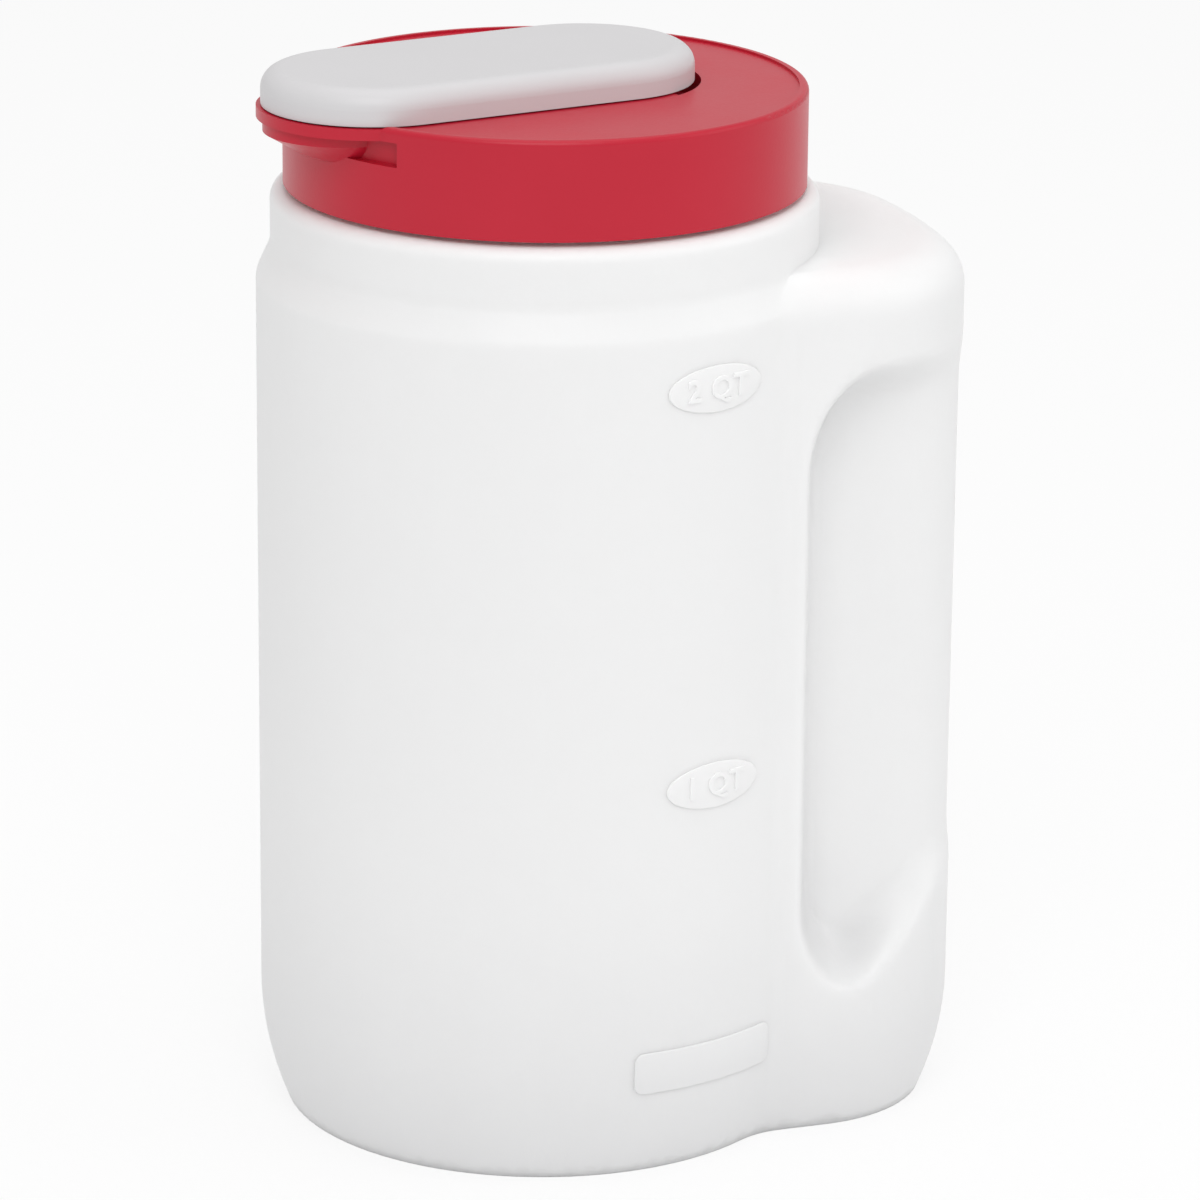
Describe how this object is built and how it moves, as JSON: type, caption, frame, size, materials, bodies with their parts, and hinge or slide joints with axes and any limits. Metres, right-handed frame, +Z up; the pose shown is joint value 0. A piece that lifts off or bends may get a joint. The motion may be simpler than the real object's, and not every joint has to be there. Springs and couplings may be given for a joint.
{
  "type": "mixing bottle",
  "caption": "Translucent plastic mixing bottle with a grip recess round its handle lobe, a screw lid with a pouring spout and a hinged flip cover",
  "frame": {"origin": "middle of the bounding box, on the surface the bottle stands on", "axes": "+X towards the grip lobe and -X towards the side the spout is on; +Y to the left of +X seen from above; +Z up along the axis of the bottle"},
  "size_m": [0.1448, 0.1156, 0.2198],
  "materials": {
    "milky_plastic": "satin",
    "red_plastic": "gloss",
    "white_plastic": "gloss"
  },
  "bodies": {
    "bottle": {"bottle": "milky_plastic", "screw_lid": "red_plastic"},
    "cover": {"flip_cover": "white_plastic"}
  },
  "joints": [
    {"name": "cover_hinge", "type": "hinge", "parent": "bottle", "child": "cover", "pos_m": [0.01148, 0.00456, 0.2152], "axis": [-0.1942, 0.981, 0], "range_deg": [0, 110]}
  ]
}
